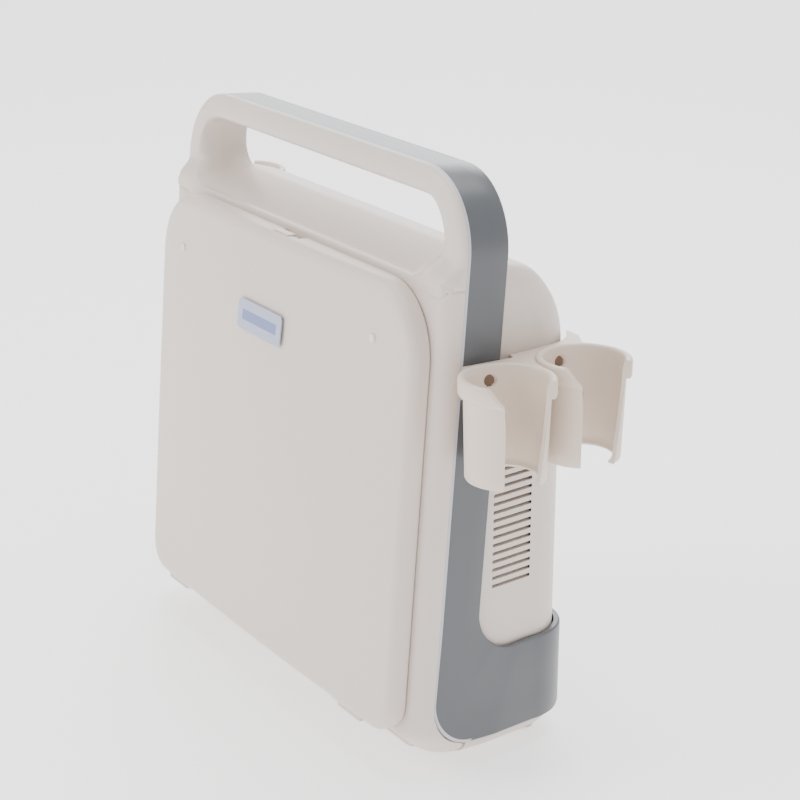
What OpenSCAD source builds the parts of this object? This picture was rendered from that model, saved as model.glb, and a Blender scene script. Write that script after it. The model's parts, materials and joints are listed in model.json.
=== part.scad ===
// Portable ultrasound scanner, folded shut and standing on its base.
// X runs across the machine, -Y is the front and +Z is up. The origin lies on the table,
// under the middle of the machine's width and depth.
// The front slab leans back, so its parts are drawn in the slab's own frame and then leaned:
// there y = 0 is the front edge of the grey band and z is measured up along the slab.

/* [Main body] */
// Width across the grey band
body_w = 328; // [300:1:400]
// Height of the slab along its lean, handle included
body_h = 350; // [330:1:420]
// Backward lean of the front slab, in degrees
lean = 3.9; // [2:0.1:5]
// Depth of the white frame in front of the grey band
frame_d = 12; // [11:0.5:14]
// Depth of the grey band
band_d = 27; // [24:1:34]
// Thickness of the grey band
band_t = 2.5; // [2:0.1:3]
// Radius of the slab's top corners
corner_r = 45; // [36:1:55]
// Radius of the slab's bottom corners
foot_corner_r = 26; // [20:1:30]
// Radius under the slab's front edge
chin_r = 36; // [30:1:40]
// Wall of the moulded covers
wall = 2.5; // [2:0.1:3]

/* [Handle] */
// Height of the grip's bar above the opening
bar_h = 14; // [12:0.5:20]
// Height of the hand opening
grip_h = 37; // [34:1:45]
// Width of each upright beside the opening
upright_w = 18; // [16:1:28]
// How far the handle's front stands behind the frame's front
handle_step = 4; // [2:0.5:6]
// Height from the frame's ledge up to the rear edge of the sloping floor of the opening
ramp_rise = 12; // [8:1:16]

/* [Rear cover] */
// Distance from the band's front edge to the rear face
rear_y = 106; // [100:1:120]
// How much each side of the rear cover draws in towards the back
rear_taper = 4.5; // [3:0.5:8]
// Gap between the slab's width and the rear cover's at the band, each side
rear_inset = 4; // [3:0.5:6]
// Upright corner radius of the rear cover
rear_r = 34; // [24:1:36]
// Drop of the rear cover's roof from the band to where it bends down
roof_drop = 10; // [6:1:14]
// Radius where the roof bends down into the rear face
roof_r = 38; // [24:1:40]
// Number of vent slots on each side
vent_count = 15; // [6:1:16]
// Height of one vent slot
vent_h = 2; // [1.2:0.1:2.4]
// Distance from one vent slot to the next
vent_pitch = 5; // [4:0.1:5.4]
// Length of a vent slot
vent_len = 29; // [20:1:32]
// Height of the lowest vent slot
vent_z = 109; // [104:1:114]

/* [Bumper and base] */
// Height of the bumper's top lip
bumper_z = 70; // [66:1:76]
// Height of the grey edge above the table
skirt_z = 15; // [13:1:18]
// How far the bumper stands proud of the rear face
bumper_out = 4; // [3:0.1:5]
// Radius of the grey skirt's front corner
skirt_r = 28; // [20:1:32]
// Thickness of the rubber feet below the base
foot_h = 2; // [1.5:0.5:3]
// Radius of a rubber foot
foot_r = 9; // [7:0.5:11]
// Spacing of the trolley screws across the base
trolley_dx = 200; // [160:1:220]
// Spacing of the trolley screws along the depth
trolley_dy = 36; // [30:1:38]
// Bore radius of a trolley insert
insert_r = 2.5; // [2:0.1:3]

/* [Keyboard unit] */
// Margin of the slab's front left bare at each side of the keyboard
kb_margin = 10; // [9:0.5:12]
// Height of the keyboard's lower edge above the slab's foot
kb_z0 = 24; // [24:0.5:25]
// Thickness of the keyboard at the middle of its crown
kb_t = 24; // [22:0.5:26]
// How much lower the crown is at the sides
crown_x = 10; // [6:0.5:11]
// How much lower the crown is at the top and bottom
crown_z = 6; // [4:0.5:8]
// Radius of the keyboard's outer corners by the handle
kb_top_r = 40; // [30:1:44]
// Radius of the keyboard's corners by the hinge
kb_low_r = 18; // [14:1:22]
// Radius of the hinge knuckles
knuckle_r = 5.7; // [5:0.1:5.7]
// Radius of the hinge pins
pin_r = 2.5; // [2:0.1:2.8]
// Middle of each hinge, from the machine's middle
hinge_x = 112; // [100:1:114]
// Width of a hinge bracket
hinge_w = 25; // [18:1:26]

/* [Controls] */
// Side of a letter key
key_w = 13; // [11:0.5:13.5]
// Distance from one letter key to the next
key_pitch = 15; // [14.5:0.5:15.5]
// Letter keys in a row
key_count = 13; // [10:1:13]
// Radius of the trackball
ball_r = 10; // [8.5:0.5:10]
// Radius of the two knobs
knob_r = 13; // [11:0.5:15]
// Distance from one gain slider to the next
tgc_pitch = 11; // [10:0.5:11]
// Travel of a gain slider each way
tgc_travel = 11; // [8:0.5:12]

/* [Probe holders] */
// Outer radius of a cup's collar
cup_r = 26.8; // [24:0.1:28]
// Height of the collar
collar_h = 10; // [8:0.5:12]
// Height of a whole cup
cup_h = 58; // [50:1:62]
// How far the cup's wall stands inside the collar
collar_out = 2.5; // [2:0.1:3]
// How much the cup narrows towards its foot
cup_draft = 2.5; // [1:0.1:4]
// Width of the slot for the probe's cable at the collar
slot_w = 34; // [26:1:36]
// Width of the slot at the foot
slot_low_w = 22; // [18:1:24]
// Height of the right-hand cups' rim
cup_z = 248; // [240:1:252]
// Height of the left-hand cup's rim
left_cup_z = 281; // [270:1:284]

/* [Screen] */
// Width of the visible screen
screen_w = 246; // [220:1:250]
// Height of the visible screen
screen_h = 185; // [160:1:190]
// Depth of the well that the screen lies in
well_d = 9; // [9:0.5:10]

/* [Hidden] */
$fn = 64;
eps = 0.5;
gap = 0.3;
run_fit = 0.05;
half_w = body_w / 2;
front_y = -frame_d;
slab_foot = foot_h + band_d * sin(lean);
ledge_z = body_h - bar_h - grip_h - 9;
grip_top = body_h - bar_h;
grip_half = half_w - upright_w;
kb_z1 = ledge_z - 3;
kb_half = half_w - kb_margin;
kb_mid = (kb_z0 + kb_z1) / 2;
crown_rx = (kb_half * kb_half + crown_x * crown_x) / (2 * crown_x);
crown_rz = ((kb_z1 - kb_mid) * (kb_z1 - kb_mid) + crown_z * crown_z) / (2 * crown_z);
front_reach = (frame_d + kb_t) * cos(lean) - kb_mid * sin(lean) + crown_rz * sin(lean) * tan(lean) / 2;
depth_mid = (rear_y + bumper_out - front_reach) / 2;
kb_back = front_y - gap;
kb_face = front_y - kb_t;
well_half = kb_half - 12;
well_z0 = kb_z0 + 16;
well_z1 = kb_z1 - 8;
well_y = front_y + well_d;
screen_z = (well_z0 + well_z1) / 2;
bracket_y = well_y + 7;
mother_y = bracket_y + 8;
pivot_y = kb_back - knuckle_r;
pivot_z = kb_z0 + knuckle_r;
deck_y = kb_back - 1.2;
deck_t = 2.5;
deck_low = deck_y - deck_t;
board_y = deck_low - 4.5;
key_top = deck_y + 4;
key_low = deck_low - 2.2;
keyfoot_r = 2.5;
keyfoot_drop = 7.8;
label_z = kb_z1 - 53.5;
rear_in = half_w - rear_inset;
roof_z = ledge_z + ramp_rise - 3;
vent_y = 44;
cup_x = half_w + cup_r + 4.8;
cup_y1 = 26.5;
cup_y2 = 82.8;
cup_in = 8.3;
left_cup_y = 78;
cup_wall = 2.2;
screw_y1 = 30;
screw_drop = 9;
screw_head_r = 2.4;
ball_z = kb_z1 - 75;
ball_y = deck_y + 4.5 - ball_r;
knob_x = 92;
knob_z = ball_z;
tgc_x = 106;
tgc_z = kb_z0 + 46;
tgc_n = 6;
key_x0 = -kb_half + 22;
key_z0 = kb_z0 + 48;
mode_z = key_z0 + 3 * key_pitch + 32;
cover_z = foot_h + 2;
heel_r = 12;
tray_top = cover_z + 5;
tray_half = half_w - 32;
foot_y1 = 24;
foot_y2 = rear_y - 20;
socket_z = 205;
socket_x = 42;
socket_w = 30;
socket_h = 62;
io_z = 108;
chassis_y = 62;
cover_screw_x = rear_in - rear_taper - rear_r - 2;
fan_x = -138;
fan_y = 65.5;
fan_z = 142;
fan_s = 50;
white = [0.86, 0.84, 0.82];
grey = [0.54, 0.54, 0.56];
dark = [0.16, 0.17, 0.19];
steel = [0.72, 0.73, 0.75];
green = [0.10, 0.36, 0.22];

// ---- frames and outlines ----

// Parts of the vertical rear half
module upright() {
    translate([0, -depth_mid, 0]) children();
}

// Parts of the leaning front slab
module slab() {
    translate([0, -depth_mid, 0]) rotate([-lean, 0, 0]) children();
}

// Extrude an (x, z) outline from y0 back to y1
module prism_y(y0, y1) {
    translate([0, y1, 0]) rotate([90, 0, 0]) linear_extrude(y1 - y0) children();
}

// Extrude a (y, z) outline from x0 to x1
module prism_x(x0, x1) {
    translate([x0, 0, 0]) rotate([90, 0, 90]) linear_extrude(x1 - x0) children();
}

// A cylinder along X
module rod_x(r, x0, x1) {
    translate([x0, 0, 0]) rotate([0, 90, 0]) cylinder(r = r, h = x1 - x0);
}

// A cylinder along Y
module rod_y(r, y0, y1) {
    translate([0, y1, 0]) rotate([90, 0, 0]) cylinder(r = r, h = y1 - y0);
}

module box(x0, x1, y0, y1, z0, z1) {
    translate([x0, y0, z0]) cube([x1 - x0, y1 - y0, z1 - z0]);
}

// Upright rectangle with its own radius at the top and at the bottom
module plate_2d(half, z0, z1, rt, rb) {
    translate([-half, z0 + rb]) square([2 * half, z1 - z0 - rt - rb]);
    translate([-half + rt, z1 - rt]) square([2 * (half - rt), rt]);
    translate([-half + rb, z0]) square([2 * (half - rb), rb]);
    for (s = [-1, 1]) {
        translate([s * (half - rt), z1 - rt]) circle(r = rt);
        translate([s * (half - rb), z0 + rb]) circle(r = rb);
    }
}

// Points of an arc about (cx, cy), from angle a0 to a1
function arc(cx, cy, r, a0, a1, n = 8) =
    [for (i = [0:n]) [cx + r * cos(a0 + (a1 - a0) * i / n), cy + r * sin(a0 + (a1 - a0) * i / n)]];

// ---- main housing ----

module slab_outline(inset) {
    plate_2d(half_w - inset, slab_foot + inset, body_h - inset, corner_r - inset, foot_corner_r - inset);
}

// Space under the slab's rounded front edge
module chin_cut() {
    prism_x(-half_w - eps, half_w + eps) difference() {
        translate([front_y - eps, -eps]) square([chin_r + eps, slab_foot + chin_r + eps]);
        translate([front_y + chin_r, slab_foot + chin_r]) circle(r = chin_r, $fn = 96);
    }
}

// Everything that the hand opening and its sloping floor remove
module grip_cut() {
    prism_y(front_y - eps, band_d + eps)
        plate_2d(grip_half, ledge_z + 9, grip_top, grip_h / 2 - 1, grip_h / 2 - 1);
    prism_x(-grip_half + 4, grip_half - 4)
        polygon([[front_y - eps, ledge_z], [band_d + eps, ledge_z + ramp_rise],
            [band_d + eps, grip_top - 18], [front_y - eps, grip_top - 18]]);
}

module hinge_slots() {
    for (s = [-1, 1])
        translate([s * hinge_x, 0, 0])
            box(-hinge_w / 2 - gap, hinge_w / 2 + gap, front_y - eps, eps, pivot_z - 3.3, pivot_z + 3.3);
}

module front_housing() {
    color(white) slab() difference() {
        union() {
            prism_y(front_y, 0) slab_outline(0);
            prism_y(-eps, band_d) slab_outline(band_t + 0.1);
        }
        chin_cut();
        grip_cut();
        box(-half_w - eps, half_w + eps, front_y - eps, front_y + handle_step, ledge_z, body_h + eps);
        box(-well_half, well_half, front_y - eps, well_y, well_z0, well_z1);
        box(-well_half + 8, well_half - 8, well_y - eps, eps, well_z0 + 8, well_z1 - 8);
        prism_y(0, band_d + eps) plate_2d(half_w - 7, 22, ledge_z - 5, 12, 12);
        hinge_slots();
        box(-16, 22, front_y - eps, front_y + 9.5, well_z1 - eps, kb_z1 - 0.5);
        rotate([lean, 0, 0]) holder_holes();
    }
}

// Plan of the rear half: side walls that draw in, and round rear corners.
// "out" moves the walls outwards and "flare" widens the corner at the band.
function plan_points(out, y_end) =
    let (xr = rear_in - rear_taper + out, r = rear_r)
    concat([[-rear_in - out, 15], [rear_in + out, 15], [rear_in + out, 45]],
        arc(xr - r, y_end - r, r, 0, 90, 12), arc(-xr + r, y_end - r, r, 90, 180, 12),
        [[-rear_in - out, 45]]);

// Side view of the rear cover: the roof falls a little, then bends down into the rear face
function roof_points(inset) =
    let (r = roof_r - inset, zb = roof_z - roof_drop - roof_r)
    concat([[15, cover_z + inset]], arc(rear_y - heel_r, cover_z + heel_r, heel_r - inset, -90, 0, 5),
        arc(rear_y - roof_r, zb, r, 0, 68), [[40, roof_z - inset], [15, roof_z - inset]]);

module rear_solid(inset) {
    intersection() {
        translate([0, 0, -eps]) linear_extrude(body_h) polygon(plan_points(-inset, rear_y - inset));
        prism_x(-half_w, half_w) polygon(roof_points(inset));
    }
}

module vents() {
    for (i = [0:vent_count - 1], s = [-1, 1])
        translate([s * (rear_in - 4), 0, vent_z + i * vent_pitch])
            box(-12, 12, vent_y, vent_y + vent_len, -vent_h / 2, vent_h / 2);
}

module rear_cover() {
    color(white) difference() {
        upright() difference() {
            rear_solid(0);
            rear_solid(wall);
            vents();
            for (s = [-1, 1])
                box(s * socket_x - socket_w / 2, s * socket_x + socket_w / 2, rear_y - 9, rear_y + eps,
                    socket_z - socket_h / 2, socket_z + socket_h / 2);
            box(-126, -34, rear_y - 9, rear_y + eps, io_z - 22, io_z + 22);
            box(62, 126, rear_y - 9, rear_y + eps, io_z - 16, io_z + 16);
            box(-tray_half - gap, tray_half + gap, 36 - gap, rear_y - 20 + gap,
                cover_z - eps, cover_z + wall + eps);
            for (i = [-2:2], j = [-2:2])
                translate([104 + 5 * i, 0, socket_z + 5 * j]) rod_y(1.5, rear_y - 9, rear_y + eps);
            holder_holes();
            cover_screw_holes();
        }
        slab() box(-half_w - 20, half_w + 20, -80, band_d, -20, body_h + 20);
    }
}

// The grey band over the handle and down both sides, and the bumper round the foot
module mid_band() {
    color(grey) union() {
        slab() difference() {
            prism_y(0, band_d) difference() {
                plate_2d(half_w, -60, body_h, corner_r, 5);
                plate_2d(half_w - band_t, -58, body_h - band_t, corner_r - band_t, 5);
            }
            box(-half_w - eps, half_w + eps, -eps, band_d + eps, -70, skirt_z);
            skirt_cut();
            rotate([lean, 0, 0]) holder_holes();
        }
        upright() difference() {
            translate([0, 0, skirt_z + 1]) linear_extrude(bumper_z - skirt_z - 1) difference() {
                polygon(plan_points(rear_inset - 0.2, rear_y + bumper_out));
                polygon(plan_points(rear_inset - band_t + 0.1, rear_y + 0.2));
            }
            box(-half_w - eps, half_w + eps, 0, 24, 0, bumper_z + eps);
        }
        for (s = [-1, 1]) upright() skirt_bridge(s);
    }
}

// Front lower corner of the grey skirt, cut round
module skirt_cut() {
    prism_x(-half_w - eps, half_w + eps) difference() {
        translate([-eps, skirt_z - eps]) square([skirt_r + eps, skirt_r + eps]);
        translate([skirt_r, skirt_z + skirt_r]) circle(r = skirt_r, $fn = 64);
    }
}

// Side cheek that joins the leaning band to the upright bumper
module skirt_bridge(s) {
    x0 = s > 0 ? half_w - band_t + 0.2 : -half_w + 0.1;
    prism_x(x0, x0 + band_t - 0.3)
        polygon(concat([[24, skirt_z + 1], [52, skirt_z + 1]],
            arc(52, bumper_z + 20, 20, -90, -170, 8), [[25, bumper_z + 20]]));
}

module base_tray() {
    color(white) upright() difference() {
        union() {
            box(-half_w + 16, half_w - 16, 30, rear_y - 14, foot_h, cover_z);
            box(-tray_half, tray_half, 36, rear_y - 20, cover_z - eps, tray_top);
        }
        insert_sites() cylinder(r = insert_r + 2, h = 40, center = true);
    }
}

module insert_sites() {
    for (sx = [-1, 1], sy = [-1, 1])
        translate([sx * trolley_dx / 2, (rear_y + 16) / 2 + sy * trolley_dy / 2, 0]) children();
}

module trolley_inserts() {
    color("goldenrod") upright() insert_sites() difference() {
        translate([0, 0, foot_h]) cylinder(r = insert_r + 2, h = tray_top - foot_h);
        cylinder(r = insert_r, h = 40, center = true);
    }
}

module rubber_feet() {
    color(dark) upright() for (s = [-1, 1]) {
        translate([s * (half_w - 34), foot_y1 + 16, 0]) cylinder(r = foot_r, h = foot_h);
        translate([s * (half_w - 34), foot_y2, 0]) cylinder(r = foot_r, h = foot_h);
    }
}

// ---- screen ----

module screen_bezel() {
    color(dark) slab() difference() {
        box(-well_half + gap, well_half - gap, well_y - 2.4, well_y, well_z0 + gap, well_z1 - gap);
        box(-screen_w / 2 - 2, screen_w / 2 + 2, well_y - 3, well_y + eps,
            screen_z - screen_h / 2 - 2, screen_z + screen_h / 2 + 2);
    }
}

module screen_glass() {
    color([0.1, 0.12, 0.16]) slab()
        box(-screen_w / 2 - 1.8, screen_w / 2 + 1.8, well_y - 1.8, well_y,
            screen_z - screen_h / 2 - 1.8, screen_z + screen_h / 2 + 1.8);
}

module lcd_module() {
    color(steel) slab()
        box(-screen_w / 2 - 5, screen_w / 2 + 5, well_y, bracket_y,
            screen_z - screen_h / 2 - 6, screen_z + screen_h / 2 + 6);
}

module lcd_bracket() {
    color(steel) slab() {
        difference() {
            box(-142, 142, bracket_y, bracket_y + 2, well_z0 - 4, well_z1);
            for (i = [-1:1], j = [-1, 1])
                translate([i * 80, 0, screen_z + j * 50]) rod_y(22, bracket_y - 1, bracket_y + 3);
        }
        for (s = [-1, 1], z = [well_z0 + 4, screen_z, well_z1 - 8])
            translate([s * 138.5, 0, z]) rod_y(3, 0, bracket_y + 1);
    }
}

module main_board() {
    color(green) slab() {
        box(-130, 130, mother_y, mother_y + 1.6, 70, well_z1 - 10);
        for (i = [-1, 1], z = [80, well_z1 - 20])
            translate([i * 120, 0, z]) rod_y(3, bracket_y + 2, mother_y + 0.5);
        box(-100, -60, mother_y + 1, mother_y + 4, 120, 160);
        box(-20, 10, mother_y + 1, mother_y + 4, 120, 150);
    }
}

module heat_sink() {
    color(steel) slab() {
        box(20, 90, mother_y + 1.6, mother_y + 4.5, 120, 200);
        for (i = [0:8]) box(20 + 8.4 * i, 22 + 8.4 * i, mother_y + 4, mother_y + 10, 120, 200);
    }
}

// ---- rear half ----

// Sheet frame whose legs reach the rear cover and take its screws
module rear_chassis() {
    color(steel) upright() difference() {
        union() {
            box(-cover_screw_x - 6, cover_screw_x + 6, chassis_y, chassis_y + 1.5, 72, 256);
            cover_screw_sites() rod_y(4.5, chassis_y + 1, rear_y - wall - 0.3);
        }
        cover_screw_sites() rod_y(1.7, rear_y - 12, rear_y);
        for (i = [-1:1]) box(i * 70 - 25, i * 70 + 25, chassis_y - 1, chassis_y + 3, 90, 146);
    }
}

module beamformer_board() {
    color(green) upright() {
        box(-108, 70, chassis_y + 5, chassis_y + 6.6, 160, 252);
        for (i = [-1, 1], z = [166, 246])
            translate([-19 + i * 80, 0, z]) rod_y(3, chassis_y + 1.5, chassis_y + 5.5);
        for (i = [0:3]) box(-90 + 40 * i, -68 + 40 * i, chassis_y + 6, chassis_y + 9, 178, 200);
    }
}

module power_supply() {
    color(steel) upright() difference() {
        box(34, 128, 56, 94, tray_top, tray_top + 44);
        for (i = [0:6]) box(42 + 12 * i, 46 + 12 * i, 58, 80, tray_top + 38, tray_top + 48);
    }
}

module battery_pack() {
    color([0.2, 0.28, 0.42]) upright() {
        for (i = [0:3]) translate([-114 + 26 * i, 76, tray_top + 1]) cylinder(r = 12.4, h = 42);
        box(-128, -22, 62, 85, tray_top, tray_top + 2);
    }
}

module fan_frame() {
    color(dark) upright() translate([fan_x, fan_y, fan_z]) difference() {
        box(-7.5, 7.5, -fan_s / 2, fan_s / 2, -fan_s / 2, fan_s / 2);
        difference() {
            rod_x(fan_s / 2 - 2, -8, 8);
            rod_x(10, -8, -4.5);
            for (a = [0:90:270]) rotate([a, 0, 0]) box(-8, -5.5, -2, 2, 0, fan_s / 2);
        }
        rod_x(2 + run_fit, -9, 1);
    }
}

module fan_rotor() {
    color(dark) upright() translate([fan_x, fan_y, fan_z]) {
        rod_x(9.5, -4, 6);
        rod_x(2, -7, -3);
        for (i = [0:6]) rotate([360 / 7 * i, 0, 0]) rotate([0, 0, 0])
            translate([1, 0, 15]) rotate([0, 0, 35]) box(-0.8, 0.8, -5, 5, -7, 6.5);
    }
}

module speaker() {
    color(dark) upright() translate([104, 0, socket_z]) {
        rod_y(16, rear_y - wall - 4, rear_y - wall);
        rod_y(9, rear_y - wall - 12, rear_y - wall - 3.5);
    }
}

// ---- sockets on the rear face ----

module probe_sockets() {
    color(dark) upright() for (s = [-1, 1]) translate([s * socket_x, 0, socket_z]) difference() {
        box(-socket_w / 2 + gap, socket_w / 2 - gap, rear_y - 14, rear_y - 0.5,
            -socket_h / 2 + gap, socket_h / 2 - gap);
        box(-9, 9, rear_y - 8, rear_y + eps, -18, 28);
        translate([0, 0, -24.2]) rod_y(2 + run_fit, rear_y - 15, rear_y);
    }
}

module socket_lock(s) {
    color(steel) upright() translate([s * socket_x, 0, socket_z - 24.2]) {
        rod_y(2, rear_y - 12, rear_y + 1);
        rod_y(5, rear_y + 0.3, rear_y + 2.2);
        box(-6.3, 6.3, rear_y + 0.3, rear_y + 3.4, -1.6, 1.6);
    }
}

module io_panel() {
    color(dark) upright() difference() {
        box(-126 + gap, -34 - gap, rear_y - 8, rear_y - 2, io_z - 22 + gap, io_z + 22 - gap);
        for (i = [0:2]) box(-118 + 20 * i, -104 + 20 * i, rear_y - 7, rear_y, io_z + 4, io_z + 10);
        box(-118, -86, rear_y - 7, rear_y, io_z - 16, io_z - 5);
        box(-76, -60, rear_y - 7, rear_y, io_z - 16, io_z - 3);
        translate([-46, 0, io_z - 8]) rod_y(5, rear_y - 7, rear_y);
        translate([-46, 0, io_z + 8]) rod_y(3.5, rear_y - 7, rear_y);
    }
}

module mains_inlet() {
    color(dark) upright() {
        difference() {
            box(62 + gap, 126 - gap, rear_y - 20, rear_y - 1, io_z - 16 + gap, io_z + 16 - gap);
            box(68, 93, rear_y - 16, rear_y, io_z - 9, io_z + 9);
            box(98, 110, rear_y - 10, rear_y, io_z - 11, io_z + 11);
            translate([119, 0, io_z]) rod_y(3, rear_y - 19, rear_y);
            translate([119, 0, io_z]) rod_y(5.5, rear_y - 12, rear_y);
        }
        for (x = [73.5, 80.5, 87.5]) box(x - 1, x + 1, rear_y - 18, rear_y - 4, io_z - 3, io_z + 3);
    }
}

module power_rocker() {
    color("black") upright() translate([104, rear_y - 5, io_z]) intersection() {
        rotate([-8, 0, 0]) box(-5.5, 5.5, -3.5, 4, -10, 10);
        rod_x(10.2, -6, 6);
    }
}

module earth_stud() {
    color("goldenrod") upright() translate([119, 0, io_z]) {
        rod_y(3, rear_y - 19, rear_y - 0.5);
    }
}

module cover_screw_sites() {
    for (s = [-1, 1], z = [bumper_z + 9, 240]) translate([s * cover_screw_x, 0, z]) children();
}

module cover_screw_holes() {
    cover_screw_sites() rod_y(1.8, rear_y - 9, rear_y + eps);
}

module cover_screws() {
    color(steel) upright() cover_screw_sites() difference() {
        union() {
            rod_y(1.7, rear_y - 10, rear_y);
            rod_y(3.4, rear_y, rear_y + 1.8);
        }
        rod_y(1, rear_y + 0.6, rear_y + 3);
    }
}

// ---- probe holders ----

// One tapered cup, rim at z = 0, with its cable slot towards +X
module cup_solid() {
    translate([0, 0, -collar_h]) cylinder(r = cup_r, h = collar_h);
    translate([0, 0, -cup_h])
        cylinder(r1 = cup_r - collar_out - cup_draft, r2 = cup_r - collar_out, h = cup_h - collar_h + eps);
}

module cup_hollow() {
    r2 = cup_r - collar_out - cup_wall;
    translate([0, 0, -cup_h - eps]) cylinder(r1 = r2 - cup_draft, r2 = r2, h = cup_h + 2 * eps);
}

// The tapered slot, an upright wedge through the outer side
module cup_slot() {
    translate([0, 0, -cup_h - eps]) rotate([90, 0, 90])
        linear_extrude(cup_r + eps)
            polygon([[-slot_low_w / 2, 0], [slot_low_w / 2, 0],
                [slot_w / 2, cup_h + 2 * eps], [-slot_w / 2, cup_h + 2 * eps]]);
}

// Web between the machine's side and the cups: wy are its ends along the side
module holder_web(wy0, wy1, cups) {
    translate([0, 0, -22]) linear_extrude(20)
        polygon(concat([[rear_in + 0.5 - rear_taper * (wy1 - 45) / (rear_y - rear_r - 45), wy1],
            [rear_in + 1, 46],
            [half_w + gap, 46], [half_w + gap, wy0]], cups));
}

module probe_holder_right() {
    color(white) upright() translate([0, 0, cup_z]) difference() {
        union() {
            translate([cup_x, cup_y1, 0]) cup_solid();
            translate([cup_x - cup_in, cup_y2, 0]) cup_solid();
            holder_web(14, 98, [[cup_x, cup_y1 - 12], [cup_x, cup_y2 + 8]]);
        }
        translate([cup_x, cup_y1, 0]) { cup_hollow(); cup_slot(); }
        translate([cup_x - cup_in, cup_y2, 0]) { cup_hollow(); cup_slot(); }
        for (y = [screw_y1, cup_y2]) translate([0, y, -screw_drop]) rod_x(screw_head_r, 100, cup_x);
    }
}

module probe_holder_left() {
    color(white) upright() mirror([1, 0, 0]) translate([0, 0, left_cup_z]) difference() {
        union() {
            translate([cup_x, left_cup_y, 0]) cup_solid();
            holder_web(52, 96, [[cup_x, left_cup_y - 12], [cup_x, left_cup_y + 8]]);
        }
        translate([cup_x, left_cup_y, 0]) { cup_hollow(); cup_slot(); }
        translate([0, left_cup_y, -screw_drop]) rod_x(screw_head_r, 100, cup_x);
    }
}

module holder_holes() {
    for (y = [screw_y1, cup_y2]) translate([0, y, cup_z - screw_drop]) rod_x(1.8, half_w - 30, half_w + eps);
    translate([0, left_cup_y, left_cup_z - screw_drop]) rod_x(1.8, -half_w - eps, -half_w + 30);
}

module holder_screws() {
    color(steel) upright() {
        translate([0, screw_y1, cup_z - screw_drop]) holder_screw(half_w - 14, cup_x - cup_r + 1);
        translate([0, cup_y2, cup_z - screw_drop]) holder_screw(half_w - 18, cup_x - cup_in - cup_r + 1);
        translate([0, left_cup_y, left_cup_z - screw_drop]) mirror([1, 0, 0])
            holder_screw(half_w - 18, cup_x - cup_r + 1);
    }
}

module holder_screw(x0, x1) {
    rod_x(1.7, x0, x1);
    rod_x(2.3, x1 - 1.8, x1 + 0.6);
}

// ---- hinge ----

module hinge_brackets() {
    color(steel) slab() for (s = [-1, 1]) translate([s * hinge_x, 0, 0]) difference() {
        union() {
            translate([0, pivot_y, pivot_z]) rod_x(knuckle_r - 0.6, -hinge_w / 2, hinge_w / 2);
            box(-hinge_w / 2, hinge_w / 2, pivot_y, 0.3, pivot_z - 3, pivot_z + 3);
            box(-hinge_w / 2, hinge_w / 2, 0.2, 2.2, pivot_z - 3, pivot_z + 26);
        }
        translate([0, pivot_y, pivot_z]) rod_x(pin_r + run_fit, -hinge_w, hinge_w);
    }
}

module hinge_pins() {
    color(steel) slab() for (s = [-1, 1])
        translate([s * hinge_x, pivot_y, pivot_z]) rod_x(pin_r, -hinge_w / 2 - 8, hinge_w / 2 + 8);
}

// ---- keyboard unit ----

// Crowned block of the keyboard, "inset" smaller all round
module crowned(inset) {
    intersection() {
        prism_y(kb_face, kb_back)
            plate_2d(kb_half - inset, kb_z0 + inset, kb_z1 - inset, kb_top_r - inset, kb_low_r - inset);
        translate([0, kb_face + inset + crown_rx, 0]) cylinder(r = crown_rx, h = body_h, $fn = 360);
        translate([0, kb_face + inset + crown_rz, kb_mid]) rod_x(crown_rz, -half_w, half_w, $fn = 360);
    }
}

// Round the edge that turns past the slab, about the hinge axis
module hinge_edge_cut() {
    prism_x(-half_w, half_w) difference() {
        translate([pivot_y, kb_z0 - eps]) square([knuckle_r + 1, knuckle_r + eps]);
        translate([pivot_y, pivot_z]) circle(r = knuckle_r);
    }
}

module hinge_pockets() {
    for (s = [-1, 1]) translate([s * hinge_x, 0, 0]) {
        box(-hinge_w / 2 - gap, hinge_w / 2 + gap, pivot_y - knuckle_r - 0.5, kb_back + eps,
            kb_z0 - eps, pivot_z + knuckle_r + 0.5);
    }
}

module keyboard_cover() {
    color(white) slab() difference() {
        crowned(0);
        difference() {
            crowned(wall);
            box(-kb_half, kb_half, kb_face, kb_back, kb_z0, pivot_z + knuckle_r - 1);
        }
        prism_y(deck_low, kb_back + eps)
            plate_2d(kb_half - wall, pivot_z + knuckle_r, kb_z1 - wall, kb_top_r - wall, 1);
        foot_sites() rod_y(keyfoot_r, kb_face, deck_low);
        hinge_edge_cut();
        hinge_pockets();
        for (s = [-1, 1]) translate([s * hinge_x, pivot_y, pivot_z])
            rod_x(pin_r, -hinge_w / 2 - 8, hinge_w / 2 + 8);
        box(-13, 17, deck_low - 8, deck_low - 1, kb_z1 - 6, kb_z1 + 2);
        box(-90, 90, kb_face - 1, kb_face + 9.5, kb_z0 - 1, kb_z0 + 2.5);
    }
}

module key_site(x, z, w, h) {
    box(x - w / 2, x + w / 2, key_low, key_top, z - h / 2, z + h / 2);
}

module key_hole(x, z, w, h) {
    box(x - w / 2 - 0.4, x + w / 2 + 0.4, deck_low - eps, deck_y + eps, z - h / 2 - 0.4, z + h / 2 + 0.4);
}

function row_x(i) = key_x0 + i * key_pitch;
function row_z(r) = key_z0 + r * key_pitch;
function tgc_row(i) = tgc_z + i * tgc_pitch;

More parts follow.
